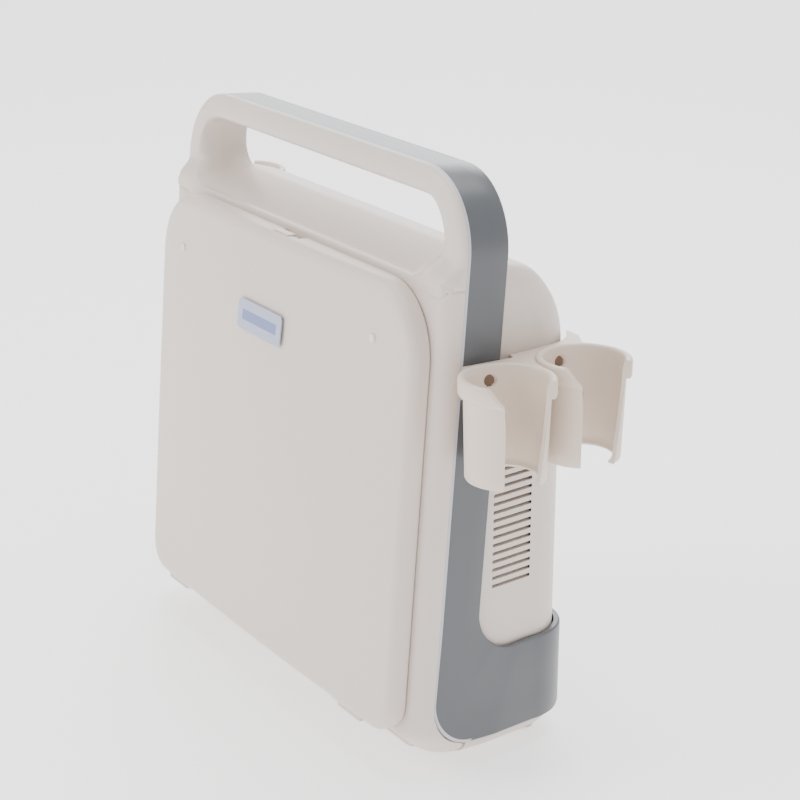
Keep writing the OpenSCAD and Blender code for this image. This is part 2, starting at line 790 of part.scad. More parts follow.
module keyboard_deck() {
    color([0.80, 0.80, 0.80]) slab() difference() {
        prism_y(deck_low, deck_y)
            plate_2d(kb_half - wall - gap, pivot_z + knuckle_r + gap, kb_z1 - wall - gap, kb_top_r - wall, 1);
        for (r = [0:3], i = [0:key_count - 1]) key_hole(row_x(i), row_z(r), key_w, key_w);
        for (i = [0:9]) key_hole(function_x(i), function_z, 14, 8);
        for (i = [0:5]) key_hole(mode_x(i), mode_z, 22, 12);
        for (i = [0:tgc_n - 1])
            box(tgc_x - tgc_travel - 2.5, tgc_x + tgc_travel + 2.5, deck_low - eps, deck_y + eps,
                tgc_row(i) - 1.4, tgc_row(i) + 1.4);
        translate([0, 0, ball_z]) rod_y(ball_r + 0.3, deck_low - eps, deck_y + eps);
        for (s = [-1, 1]) {
            translate([s * knob_x, 0, knob_z]) rod_y(3 + run_fit, deck_low - eps, deck_y + eps);
            key_hole(s * 40, ball_z, 22, 30);
        }
        translate([freeze_x, 0, freeze_z]) rod_y(10.4, deck_low - eps, deck_y + eps);
        translate([-freeze_x, 0, freeze_z]) rod_y(8.4, deck_low - eps, deck_y + eps);
        translate([tgc_x + 22, 0, function_z]) rod_y(6.4, deck_low - eps, deck_y + eps);
        box(-10, 15, deck_low - eps, deck_y + eps, kb_z1 - 6, kb_z1);
    }
}

function_z = kb_z0 + 26;
function function_x(i) = key_x0 + 2 + i * 19;
function mode_x(i) = -75 + i * 30;
freeze_x = 62;
freeze_z = ball_z + 38;

module keyboard_board() {
    color(green) slab() difference() {
        box(-kb_half + 14, kb_half - 14, board_y - 1.6, board_y, pivot_z + 12, kb_z1 - 24);
        translate([0, 0, ball_z]) rod_y(ball_r + 4, board_y - 3, board_y + 1);
    }
}

module foot_sites() {
    for (s = [-1, 1]) translate([s * 117, 0, kb_z1 - 34]) children();
}

module keyboard_feet() {
    color([0.9, 0.9, 0.9]) slab() foot_sites() rod_y(keyfoot_r, kb_face + keyfoot_drop, kb_face + keyfoot_drop + 5);
}

// Plate stuck to the crown, tilted to follow it
module label_plate() {
    a = asin((label_z - kb_mid) / crown_rz);
    color([0.72, 0.76, 0.84]) slab() translate([0, kb_face + crown_rz, kb_mid]) rotate([-a, 0, 0])
        prism_y(-crown_rz - 0.8, -crown_rz - 0.05) plate_2d(26.5, -9.25, 9.25, 3, 3);
}

module latch_slide() {
    color(white) slab() {
        box(-9, 9, deck_low - 7, deck_low - 1.5, kb_z1 - 5.5, kb_z1 + 0.8);
        box(-4, 4, deck_low - 3, front_y + 3, kb_z1 - 5, kb_z1 - 3);
        box(-4, 4, front_y + 2, front_y + 5, kb_z1 - 5, kb_z1 - 1.6);
    }
}

module trackball_ring() {
    color(steel) slab() translate([0, 0, ball_z]) difference() {
        rod_y(ball_r + 6, deck_y, deck_y + 1.8);
        rod_y(ball_r - 1.2, deck_y - 1, deck_y + 3);
    }
}

module trackball_socket() {
    color(dark) slab() translate([0, 0, ball_z]) difference() {
        rod_y(ball_r + 3, ball_y - ball_r - 1.2, deck_low);
        rod_y(ball_r + 0.3, ball_y - ball_r - 0.2, deck_low + 1);
    }
}

module trackball() {
    color([0.75, 0.1, 0.1]) slab() translate([0, ball_y, ball_z]) sphere(r = ball_r);
}

module knob(s) {
    slab() translate([s * knob_x, 0, knob_z]) {
        rod_y(knob_r, deck_y + 0.4, deck_y + 7);
        rod_y(3, board_y + 0.3, deck_y + 1);
    }
}

module round_button(x, z, r) {
    slab() translate([x, 0, z]) rod_y(r, key_low, key_top);
}

module key_row(r) {
    color([0.9, 0.9, 0.88]) slab()
        for (i = [0:key_count - 1]) key_site(row_x(i), row_z(r), key_w, key_w);
}

module tgc_slider(i) {
    color(dark) slab() {
        box(tgc_x - 1.5, tgc_x + 1.5, board_y + 0.3, deck_y + 2, tgc_row(i) - 1, tgc_row(i) + 1);
        box(tgc_x - 4, tgc_x + 4, deck_y + 0.6, deck_y + 5, tgc_row(i) - 3.6, tgc_row(i) + 3.6);
    }
}

front_housing();
mid_band();
rear_cover();
base_tray();
rubber_feet();
trolley_inserts();
screen_bezel();
screen_glass();
lcd_module();
lcd_bracket();
main_board();
heat_sink();
beamformer_board();
rear_chassis();
power_supply();
battery_pack();
fan_frame();
fan_rotor();
speaker();
probe_sockets();
socket_lock(-1);  // socket_lock_left
socket_lock(1);  // socket_lock_right
io_panel();
mains_inlet();
power_rocker();
earth_stud();
cover_screws();
probe_holder_right();
probe_holder_left();
holder_screws();
hinge_brackets();
hinge_pins();
keyboard_cover();
keyboard_deck();
keyboard_board();
keyboard_feet();
label_plate();
latch_slide();
trackball_ring();
trackball_socket();
trackball();
color(dark) knob(-1);  // gain_knob
color(dark) knob(1);  // menu_dial
color([0.25, 0.45, 0.75]) round_button(freeze_x, freeze_z, 10);  // freeze_button
color([0.85, 0.85, 0.83]) round_button(-freeze_x, freeze_z, 8);  // print_button
color([0.3, 0.6, 0.4]) round_button(tgc_x + 22, function_z, 6);  // power_button
color([0.8, 0.8, 0.8]) slab() key_site(-40, ball_z, 22, 30);  // ball_key_left
color([0.8, 0.8, 0.8]) slab() key_site(40, ball_z, 22, 30);  // ball_key_right
color([0.6, 0.62, 0.66]) slab() for (i = [0:9]) key_site(function_x(i), function_z, 14, 8);  // function_keys
color([0.6, 0.62, 0.66]) slab() for (i = [0:5]) key_site(mode_x(i), mode_z, 22, 12);  // mode_keys
key_row(0);  // key_row_1
key_row(1);  // key_row_2
key_row(2);  // key_row_3
key_row(3);  // key_row_4
tgc_slider(0);  // tgc_slider_1
tgc_slider(1);  // tgc_slider_2
tgc_slider(2);  // tgc_slider_3
tgc_slider(3);  // tgc_slider_4
tgc_slider(4);  // tgc_slider_5
tgc_slider(5);  // tgc_slider_6
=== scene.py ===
"""Portable ultrasound scanner, folded shut: moulded covers, grey band, drop-down keyboard and probe cups.

Lengths in the shape functions are millimetres in the slab's own frame (u across, v up the slab,
n out of its front) or in the upright frame (x, y, z); both are turned into the row frame at the end.
"""
import json
import math
import numpy as np
import bpy
import bmesh
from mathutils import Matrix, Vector


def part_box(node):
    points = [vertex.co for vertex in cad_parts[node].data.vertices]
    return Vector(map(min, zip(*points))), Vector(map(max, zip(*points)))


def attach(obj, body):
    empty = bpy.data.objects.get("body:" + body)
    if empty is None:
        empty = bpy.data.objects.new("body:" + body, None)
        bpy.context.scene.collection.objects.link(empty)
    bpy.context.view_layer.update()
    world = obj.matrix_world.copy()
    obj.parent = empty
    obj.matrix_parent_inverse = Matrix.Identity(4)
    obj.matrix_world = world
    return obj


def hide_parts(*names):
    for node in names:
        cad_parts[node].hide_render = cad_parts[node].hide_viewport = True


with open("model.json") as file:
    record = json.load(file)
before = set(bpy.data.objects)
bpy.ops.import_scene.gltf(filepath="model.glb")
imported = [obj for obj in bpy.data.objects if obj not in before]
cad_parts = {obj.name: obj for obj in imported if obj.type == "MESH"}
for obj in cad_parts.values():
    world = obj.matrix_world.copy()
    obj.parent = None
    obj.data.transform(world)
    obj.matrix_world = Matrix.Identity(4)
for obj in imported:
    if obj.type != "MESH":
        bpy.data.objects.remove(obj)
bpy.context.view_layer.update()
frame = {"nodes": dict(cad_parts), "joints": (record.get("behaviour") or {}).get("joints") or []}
MM = 0.001
LEAN = math.radians(3.9)

# ---- sizes shared with the frame ----
HALF_W = 164.0
BODY_H = 350.0
BAND_D = 27.0
FRAME_D = 12.0
LEDGE_V = 290.0
SLAB_FOOT = 3.84
HANDLE_N = 4.0
SIDE_R = 9.0
WELL_HALF, WELL_V0, WELL_V1, WELL_N = 142.0, 40.0, 279.0, 3.0
KB_HALF, KB_V0, KB_V1 = 154.0, 24.0, 287.0
KB_BACK = 12.3
PIVOT_N, PIVOT_V, KNUCKLE_R = 18.0, 29.7, 5.7
HINGE_U, HINGE_HALF = 112.0, 12.8
REAR_Y, REAR_R, REAR_FLAT_Y = 106.0, 32.0, 74.0
REAR_X, REAR_TAPER = 160.0, 4.5
BUMPER_Y, BUMPER_Z, SKIRT_Z = 110.0, 70.0, 16.0
CUP_R, CUP_H, COLLAR_H = 26.8, 58.0, 10.0
SCREW_DROP, SCREW_HOLE = 9.0, 2.4

# The fold joint's place gives the middle of the machine's depth.
fold = [j for j in frame["joints"] if j["name"] == "keyboard_fold"][0]
DEPTH_MID = -PIVOT_N * math.cos(LEAN) + PIVOT_V * math.sin(LEAN) - fold["pos_m"][1] / MM


# ---- frames ----

def slab(u, v, n):
    """Slab coordinates to the row frame: lean the slab back about its foot, then centre the depth."""
    u, v, n = np.broadcast_arrays(np.asarray(u, float), v, n)
    y = v * math.sin(LEAN) - n * math.cos(LEAN) - DEPTH_MID
    z = v * math.cos(LEAN) + n * math.sin(LEAN)
    return np.stack([u, y, z], -1) * MM


def upright(x, y, z):
    """Upright coordinates to the row frame: only the depth is centred."""
    x, y, z = np.broadcast_arrays(np.asarray(x, float), y, z)
    return np.stack([x, y - DEPTH_MID, z], -1) * MM


# ---- meshes ----

def surface(name, points, material, wrap_rows=True, wrap_cols=False, body="machine",
            replaces=(), marks=None, angle=35.0, weld=1e-6):
    """A grid of points (rows, columns, 3) made a mesh of quads.

    Each quad joins a point to its neighbours in the next row and the next column; a wrapped
    direction joins its last line to its first. marks gives a material number for each quad.
    """
    rows, cols = points.shape[:2]
    r = np.arange(rows if wrap_rows else rows - 1)
    c = np.arange(cols if wrap_cols else cols - 1)
    r, c = np.meshgrid(r, c, indexing="ij")
    r2, c2 = (r + 1) % rows, (c + 1) % cols
    quads = np.stack([r * cols + c, r2 * cols + c, r2 * cols + c2, r * cols + c2], -1).reshape(-1, 4)
    mesh = bpy.data.meshes.new(name)
    mesh.from_pydata(points.reshape(-1, 3).tolist(), [], quads.tolist())
    materials = material if isinstance(material, (list, tuple)) else [material]
    for m in materials:
        mesh.materials.append(m)
    if marks is not None:
        mesh.polygons.foreach_set("material_index", np.asarray(marks, np.int32)[r, c].ravel())
    bm = bmesh.new()
    bm.from_mesh(mesh)
    bmesh.ops.remove_doubles(bm, verts=bm.verts, dist=weld)
    bmesh.ops.dissolve_degenerate(bm, edges=bm.edges, dist=weld)
    bmesh.ops.recalc_face_normals(bm, faces=bm.faces)
    bm.to_mesh(mesh)
    bm.free()
    mesh.shade_smooth()
    mesh.set_sharp_from_angle(angle=math.radians(angle))
    obj = bpy.data.objects.new(name, mesh)
    bpy.context.scene.collection.objects.link(obj)
    if replaces:
        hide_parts(*replaces)
    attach(obj, body)
    return obj


class Outline:
    """A rounded upright rectangle cut into fixed columns, so that every inset of it has matching points.

    Each column lies on a straight side, at a share of its length, or on a corner, at an angle.
    The order is bottom left to right, right side up, top right to left, left side down.
    """

    def __init__(self, across=40, up=30, arc=14, extra=((), ())):
        def line(n, more=()):
            even = np.linspace(0, 1, n, endpoint=False)[1:]
            return np.unique(np.concatenate([even, np.array(more, float)]))
        corner = np.linspace(0, 1, arc)
        part, share = [], []
        for side in range(4):
            s = line(across, extra[side // 2]) if side % 2 == 0 else line(up)
            part += [np.full(len(s), side), np.full(arc, side + 4)]
            share += [s, corner]
        self.part, self.share = np.concatenate(part), np.concatenate(share)
        self.count = len(self.part)

    def points(self, half, v0, v1, r_top, r_low, inset=0.0, r_low_v=None):
        """Columns of the rectangle moved inwards by inset, which may differ from column to column.

        r_low_v, if given, makes each lower corner an ellipse that is r_low wide and r_low_v high.
        """
        d = np.broadcast_to(np.asarray(inset, float), (self.count,))
        a, lo, hi = half - d, v0 + d, v1 - d
        rt = np.maximum(r_top - d, 0.4)
        rb = np.maximum(r_low - d, 0.4)
        rbv = rb if r_low_v is None else np.maximum(r_low_v - d, 0.4)
        p, s = self.part, self.share
        x, z = np.zeros(self.count), np.zeros(self.count)
        ang = s * math.pi / 2
        x = np.where(p == 0, (a - rb) * (2 * s - 1), x)
        z = np.where(p == 0, lo, z)
        x = np.where(p == 4, a - rb + rb * np.sin(ang), x)
        z = np.where(p == 4, lo + rbv - rbv * np.cos(ang), z)
        x = np.where(p == 1, a, x)
        z = np.where(p == 1, lo + rbv + (hi - rt - lo - rbv) * s, z)
        x = np.where(p == 5, a - rt + rt * np.cos(ang), x)
        z = np.where(p == 5, hi - rt + rt * np.sin(ang), z)
        x = np.where(p == 2, (a - rt) * (1 - 2 * s), x)
        z = np.where(p == 2, hi, z)
        x = np.where(p == 6, -(a - rt) - rt * np.sin(ang), x)
        z = np.where(p == 6, hi - rt + rt * np.cos(ang), z)
        x = np.where(p == 3, -a, x)
        z = np.where(p == 3, hi - rt - (hi - rt - lo - rbv) * s, z)
        x = np.where(p == 7, -(a - rb) - rb * np.cos(ang), x)
        z = np.where(p == 7, lo + rbv - rbv * np.sin(ang), z)
        return np.stack([x, z], -1)

    def low_share(self):
        """1 on the bottom side, falling to 0 across each lower corner."""
        s = self.share
        ease = lambda t: t * t * (3 - 2 * t)
        return np.select([self.part == 0, self.part == 4, self.part == 7],
                         [1.0 + 0 * s, 1 - ease(s), ease(s)], 0.0)

    def top_share(self):
        """1 on the top side and its corners' upper halves, 0 elsewhere."""
        s = self.share
        return np.select([self.part == 2, self.part == 5, self.part == 6],
                         [1.0 + 0 * s, np.clip(2 * s - 1, 0, 1), np.clip(1 - 2 * s, 0, 1)], 0.0)


# ---- materials ----

def moulded(name, colour, rough=0.42, grain=0.00035, bump=0.05, drift=0.03, coat=0.0, spec=0.5):
    """Moulded plastic: base colour with a slow cloudy drift, fine spark-eroded grain in bump and
    roughness, and a trace of handling wear that changes the gloss in soft patches."""
    m = bpy.data.materials.new(name)
    m.use_nodes = True
    t = m.node_tree
    n, l = t.nodes, t.links
    b = n["Principled BSDF"]
    b.inputs["Coat Weight"].default_value = coat
    b.inputs["Specular IOR Level"].default_value = spec
    co = n.new("ShaderNodeTexCoord")
    cloud = n.new("ShaderNodeTexNoise")
    cloud.inputs["Scale"].default_value = 9.0
    cloud.inputs["Detail"].default_value = 4.0
    fine = n.new("ShaderNodeTexNoise")
    fine.inputs["Scale"].default_value = 1.0 / grain / 3.0
    fine.inputs["Detail"].default_value = 3.0
    l.new(co.outputs["Object"], cloud.inputs["Vector"])
    l.new(co.outputs["Object"], fine.inputs["Vector"])
    ramp = n.new("ShaderNodeValToRGB")
    c = np.array(colour)
    ramp.color_ramp.elements[0].position = 0.3
    ramp.color_ramp.elements[1].position = 0.7
    ramp.color_ramp.elements[0].color = (*(c * (1 - drift)), 1)
    ramp.color_ramp.elements[1].color = (*np.clip(c * (1 + drift * 0.6), 0, 1), 1)
    l.new(cloud.outputs["Fac"], ramp.inputs["Fac"])
    l.new(ramp.outputs["Color"], b.inputs["Base Color"])
    span = n.new("ShaderNodeMapRange")
    span.inputs["To Min"].default_value = rough - 0.05
    span.inputs["To Max"].default_value = rough + 0.06
    add = n.new("ShaderNodeMath")
    add.operation = "MULTIPLY_ADD"
    add.inputs[1].default_value = 0.5
    l.new(fine.outputs["Fac"], add.inputs[0])
    half = n.new("ShaderNodeMath")
    half.operation = "MULTIPLY"
    half.inputs[1].default_value = 0.5
    l.new(cloud.outputs["Fac"], half.inputs[0])
    l.new(half.outputs["Value"], add.inputs[2])
    l.new(add.outputs["Value"], span.inputs["Value"])
    l.new(span.outputs["Result"], b.inputs["Roughness"])
    bp = n.new("ShaderNodeBump")
    bp.inputs["Strength"].default_value = bump
    bp.inputs["Distance"].default_value = 0.0003
    l.new(fine.outputs["Fac"], bp.inputs["Height"])
    l.new(bp.outputs["Normal"], b.inputs["Normal"])
    return m


def brushed(name, colour, rough=0.35, along=(1, 0, 0)):
    """Plated or drawn metal: fine streaks along one direction in roughness and bump."""
    m = bpy.data.materials.new(name)
    m.use_nodes = True
    t = m.node_tree
    n, l = t.nodes, t.links
    b = n["Principled BSDF"]
    b.inputs["Metallic"].default_value = 1.0
    co = n.new("ShaderNodeTexCoord")
    mp = n.new("ShaderNodeMapping")
    mp.inputs["Scale"].default_value = [40 if a else 1500 for a in along]
    noise = n.new("ShaderNodeTexNoise")
    noise.inputs["Scale"].default_value = 1.0
    noise.inputs["Detail"].default_value = 3.0
    l.new(co.outputs["Object"], mp.inputs["Vector"])
    l.new(mp.outputs["Vector"], noise.inputs["Vector"])
    ramp = n.new("ShaderNodeValToRGB")
    c = np.array(colour)
    ramp.color_ramp.elements[0].color = (*(c * 0.86), 1)
    ramp.color_ramp.elements[1].color = (*np.clip(c * 1.06, 0, 1), 1)
    l.new(noise.outputs["Fac"], ramp.inputs["Fac"])
    l.new(ramp.outputs["Color"], b.inputs["Base Color"])
    span = n.new("ShaderNodeMapRange")
    span.inputs["To Min"].default_value = rough - 0.08
    span.inputs["To Max"].default_value = rough + 0.1
    l.new(noise.outputs["Fac"], span.inputs["Value"])
    l.new(span.outputs["Result"], b.inputs["Roughness"])
    bp = n.new("ShaderNodeBump")
    bp.inputs["Strength"].default_value = 0.08
    bp.inputs["Distance"].default_value = 0.0002
    l.new(noise.outputs["Fac"], bp.inputs["Height"])
    l.new(bp.outputs["Normal"], b.inputs["Normal"])
    return m


WHITE = (0.66, 0.575, 0.52)
white_plastic = moulded("cover_plastic", WHITE, rough=0.40, bump=0.06, drift=0.012)
cup_plastic = moulded("cup_plastic", (0.70, 0.59, 0.50), rough=0.42, bump=0.05, drift=0.02)
grey_plastic = moulded("band_plastic", (0.088, 0.093, 0.102), rough=0.34, bump=0.05, drift=0.02)
# pale colour for the band's chamfer: a painted highlight standing for light caught on the edge
bevel_highlight_plastic = moulded("band_bevel_painted_highlight", (0.52, 0.50, 0.55), rough=0.34, bump=0.04, drift=0.02)
slot_dark = moulded("vent_shadow", (0.035, 0.027, 0.022), rough=0.7, bump=0.05, drift=0.1)
hole_shade = moulded("hole_shade", (0.16, 0.095, 0.06), rough=0.6, bump=0.05, drift=0.1)
dark_plastic = moulded("dark_plastic", (0.022, 0.023, 0.026), rough=0.45, bump=0.08, drift=0.15)
rubber = moulded("foot_rubber", (0.02, 0.02, 0.02), rough=0.8, grain=0.0006, bump=0.2, drift=0.2)
deck_plastic = moulded("deck_plastic", (0.50, 0.50, 0.50), rough=0.5, bump=0.12, drift=0.03)
key_white = moulded("key_white", (0.72, 0.71, 0.69), rough=0.45, bump=0.08, drift=0.03)
key_grey = moulded("key_grey", (0.24, 0.26, 0.30), rough=0.45, bump=0.08, drift=0.04)
freeze_blue = moulded("freeze_blue", (0.04, 0.14, 0.42), rough=0.25, bump=0.03, drift=0.05, coat=0.3)
power_green = moulded("power_green", (0.05, 0.30, 0.12), rough=0.25, bump=0.03, drift=0.05, coat=0.3)
ball_red = moulded("ball_red", (0.34, 0.012, 0.010), rough=0.12, bump=0.01, drift=0.08, coat=0.6)
battery_blue = moulded("battery_sleeve", (0.03, 0.07, 0.22), rough=0.35, bump=0.03, drift=0.1)
steel = brushed("sheet_steel", (0.60, 0.61, 0.62))
alloy = brushed("fin_aluminium", (0.72, 0.73, 0.75), rough=0.3, along=(0, 0, 1))
brass = brushed("turned_brass", (0.72, 0.52, 0.22), rough=0.28, along=(0, 0, 1))


# ---- the keyboard's cover ----

TOP_RUN, LOW_RUN = KB_HALF - 42.0, KB_HALF - 20.0
CATCH_U, CATCH_HALF = 3.5, 13.2
low_marks = np.array([s * (HINGE_U + t * HINGE_HALF) + e
                      for s in (-1, 1) for t in (-1, 1) for e in (-0.1, 0.1)]
                     + [s * q for s in (-1, 1) for q in (91, 92.5, 94.5, 96)])
top_marks = np.array([CATCH_U + t * CATCH_HALF + e for t in (-1, 1) for e in (-0.1, 0.1)])
cover = Outline(across=60, up=46, arc=16,
                extra=((low_marks / LOW_RUN + 1) / 2, (1 - top_marks / TOP_RUN) / 2))


def crown(u, v):
    """Height of the cover's face: flat 24 mm along both sides, raised across the middle by a
    parabola whose own height is 11 mm at mid length, 5 mm at the top and 3 mm at the hinge."""
    mid, reach = (KB_V0 + KB_V1) / 2, (KB_V1 - KB_V0) / 2
    s = (v - mid) / reach
    rise = 11.0 - np.where(s > 0, 6.0, 8.0) * s * s
    return 24.0 + (1 - (u / KB_HALF) ** 2) * rise


def keyboard_cover():
    """Closed shell: inner face out to the wall, round the lip, up the side, round the edge and in
    over the crown. The face is the outline shrunk towards its middle, lifted onto the crown."""
    low = cover.low_share()
    base = cover.points(KB_HALF, KB_V0, KB_V1, 42, 20)
    notch = (np.abs(np.abs(base[:, 0]) - HINGE_U) < HINGE_HALF) & (base[:, 1] < KB_V0 + 1)
    catch = (np.abs(base[:, 0] - CATCH_U) < CATCH_HALF) & (base[:, 1] > KB_V1 - 1)
    inner = 2.5 + 8.9 * np.clip((KB_V0 + 10 - base[:, 1]) / 8, 0, 1)
    back_r = 1.2 + (KNUCKLE_R - 1.2) * np.clip((KB_V0 + 10 - base[:, 1]) / 8, 0, 1)
    rings = []
    mid_v = (KB_V0 + KB_V1) / 2
    ring = lambda d: cover.points(KB_HALF, KB_V0, KB_V1, 42, 20, d)

    def face(scale, thick):
        p = ring(inner + 0.5 if thick else 5.5)
        u, v = p[:, 0] * scale, mid_v + (p[:, 1] - mid_v) * scale
        rings.append(slab(u, v, crown(u, v) - thick))

    for s in (0.0, 0.25, 0.5, 0.75, 1.0):
        face(s, 2.5)
    def at(d, n):
        p = ring(d)
        rings.append(slab(p[:, 0], p[:, 1], n))
    at(inner, np.full(cover.count, 22.0))
    at(inner, np.full(cover.count, 17.0))
    at(np.where(notch, 11.9, np.where(catch, 6.6, inner)), np.where(notch, 24.2, KB_BACK))
    for a in np.radians([0, 22, 45, 67, 90]):
        d = back_r * (1 - math.sin(a))
        n = KB_BACK + back_r * (1 - math.cos(a))
        d = np.where(catch, 6.5 - 0.05 * a, d)
        at(np.where(notch, 11.9 * (1 - a / math.pi * 2) + 0.4, d), np.where(notch, 24.2, n))
    at(np.where(catch, 6.3, np.where(notch, 0.35, 0.0)),
       np.where(catch, 22.9, np.where(notch, 24.25, KB_BACK + back_r + 0.1)))
    dent = np.clip((96 - np.abs(base[:, 0])) / 5, 0, 1) * (base[:, 1] < KB_V0 + 1)
    r = 5.5
    u0, v0 = base[:, 0], base[:, 1]
    h0 = crown(u0, v0)
    at(0.0, np.maximum(h0 - r - 3.5, 24.3 * notch))
    at(2.4 * dent, np.maximum(h0 - r - 3.3, 24.35 * notch))
    for a in np.radians([0, 18, 36, 54, 72, 90]):
        d = r * (1 - math.cos(a)) + 2.4 * dent * (1 - a / math.pi * 2)
        p = ring(d)
        rings.append(slab(p[:, 0], p[:, 1], crown(p[:, 0], p[:, 1]) - r * (1 - math.sin(a))))
    for s in np.concatenate([[0.985, 0.96], np.linspace(0.92, 0.0, 22)]):
        face(s, 0)
    return surface("keyboard_cover_shell", np.array(rings), white_plastic, wrap_rows=False,
                   wrap_cols=True, body="keyboard", replaces=("keyboard_cover",), angle=50)


keyboard_cover()

# ---- handle and front frame ----

grip = Outline(across=50, up=16, arc=14)


def handle():
    """One closed ring round the hand opening. Each column is a section of it: over the front
    edge, across the front, round into the opening, along the flared wall to the rear lip, and
    back along the inside of the band. The opening is wide at the front and narrow at the rear."""
    low = grip.low_share()
    side = np.where(np.isin(grip.part, (1, 3)), 1.0, 0.0)
    turn = np.sin(grip.share * math.pi / 2)
    back = np.cos(grip.share * math.pi / 2)
    side = np.select([grip.part == 4, grip.part == 5, grip.part == 6, grip.part == 7],
                     [turn, back, turn, back], side)
    side = side * side * (3 - 2 * side)
    outer = lambda d: grip.points(HALF_W - 0.05, 284, BODY_H, 45, 8, d * (1 - low) + 0.04 * d * low)
    front = lambda e: grip.points(147.5 + e, 290 - e, 334 + e, 26 + e, 26 + e, r_low_v=17 + e)
    rear = lambda e: grip.points(138 + e, 302 - e, 334.5 + e, 13 + e, 16 + e)
    rings = []

    def put(p, n):
        rings.append(slab(p[:, 0], p[:, 1], n))

    def lift(p):
        near = np.clip((303 - p[:, 1]) / 11, 0, 1)
        return HANDLE_N + (FRAME_D - 0.03 - HANDLE_N) * near * near * (3 - 2 * near)

    put(outer(2.6), -0.2)
    put(outer(0.0), -0.1)
    for a in np.radians([0, 15, 30, 45, 60, 75, 90]):
        q = outer(SIDE_R * (1 - math.cos(a)))
        put(q, lift(q) * math.sin(a))
    f, r = front(0.0), rear(0.0)
    edge = f * side[:, None] + front(4.5) * (1 - side[:, None])
    a = outer(SIDE_R)
    for s in (0.2, 0.4, 0.6, 0.8):
        q = a + (edge - a) * s
        put(q, lift(q))
    # at the sides one quarter ellipse from the front plane to the rear lip; above and below, a
    # 4.5 mm rounding and then a straight wall
    top_n = lift(edge)
    for k in np.linspace(0, 1, 18):
        t = k * math.pi / 2
        scoop_p = f + (r - f) * math.sin(t)
        scoop_n = top_n - (top_n + 25) * (1 - math.cos(t))
        if k < 0.3:
            c = k / 0.3 * math.pi / 2
            wall_p = front(4.5 * (1 - math.sin(c)))
            wall_n = top_n - 4.5 * (1 - math.cos(c))
        else:
            c = (k - 0.3) / 0.7
            wall_p = f + (r - f) * c ** 0.85
            wall_n = (top_n - 4.5) * (1 - c) - 25 * c
        w = side[:, None]
        put(scoop_p * w + wall_p * (1 - w), scoop_n * side + wall_n * (1 - side))
    for a in np.radians([30, 60, 90]):
        put(rear(2 * (1 - math.cos(a))), -25 - 2 * math.sin(a))
    put(outer(4.0), -BAND_D)
    put(outer(2.6), -BAND_D + 0.3)
    return surface("handle_ring", np.array(rings), white_plastic, wrap_cols=True,
                   replaces=("front_housing",), angle=45)


frame_cols = Outline(across=44, up=36, arc=16)


def front_frame():
    """The frame round the screen, as a section carried round it: rounded over at the sides, a deep
    quarter round under the chin, a small ridge along the ledge, then flat to the well's edge,
    down its wall, across to the window and back behind."""
    low, top = frame_cols.low_share(), frame_cols.top_share()
    side = 1 - low - top
    path = lambda d: frame_cols.points(HALF_W, SLAB_FOOT, LEDGE_V, 3, 26, d)
    tuck = 2.6 * (1 - low)
    v_at = path(0.0)[:, 1]
    # where the band's lower corner leaves the side, the white surface runs on back under its edge
    drop = 28.0 - np.sqrt(28.0 ** 2 - np.clip(44.0 - v_at, 0, 27.9) ** 2)
    base = np.where(top > 0, 10.5 * top, -np.minimum(drop * 1.08, 25.5))
    r_in = SIDE_R * side + 34 * low + 1.5 * top
    r_out = FRAME_D - base
    rings = []

    def put(p, n):
        side_round = np.clip((np.abs(p[:, 0]) - (HALF_W - SIDE_R)) / SIDE_R, 0, 1)
        cap = np.where(top > 0, FRAME_D * np.sqrt(1 - side_round ** 2), FRAME_D)
        n = np.minimum(n, cap)
        rings.append(slab(p[:, 0], p[:, 1], n))

    put(path(7.0), -BAND_D)
    put(path(tuck), -BAND_D)
    put(path(tuck), np.minimum(base, -0.2) - 0.1)
    put(path(0.0), np.minimum(base, -0.1))
    for a in np.radians([0, 10, 20, 32, 45, 57, 68, 79, 90]):
        put(path(r_in * (1 - math.cos(a))), base + r_out * math.sin(a))
    well = lambda e: frame_cols.points(WELL_HALF + e, WELL_V0 - e, WELL_V1 + e, 24, 8)
    a, b = path(r_in), well(0.8)
    for s in (0.5, 0.98):
        put(a + (b - a) * s, FRAME_D)
    for a in np.radians([30, 60, 90]):
        put(well(0.8 * (1 - math.sin(a))), FRAME_D - 0.8 * (1 - math.cos(a)))
    put(well(0.0), WELL_N + 0.2)
    put(well(-0.3), WELL_N)
    put(well(-8.0), WELL_N)
    put(well(-8.0), 0.0)
    put(path(7.2), 0.0)
    return surface("front_frame", np.array(rings), white_plastic, wrap_cols=True,
                   replaces=("front_housing",), angle=45)


handle()
front_frame()


# ---- grey band and bumper ----

def plan(run, out, y_end, r):
    """Plan of the rear half, as a distance run back from the slab's front: straight, drawing in a
    little after 45 mm, then round the rear corner and across to the middle. Gives x, y, normal."""
    yc = y_end - r
    x0, x1 = REAR_X + out, REAR_X - REAR_TAPER + out
    cx = x1 - r
    run = np.asarray(run, float)
    arc_len = r * math.pi / 2
    slope = REAR_TAPER / (yc - 45)
    s = np.clip((run - yc) / arc_len, 0, 1) * math.pi / 2
    x = np.where(run < 45, x0, x0 - slope * (run - 45))
    y = np.minimum(run, yc)
    x = np.where(run >= yc, cx + r * np.cos(s) - np.maximum(run - yc - arc_len, 0), x)
    y = np.where(run >= yc, yc + r * np.sin(s), y)
    tilt = math.atan(slope)
    ang = np.where(run < 45, 0.0, np.where(run < yc, tilt, np.maximum(s, tilt)))
    return x, y, np.cos(ang), np.sin(ang), cx + yc + arc_len


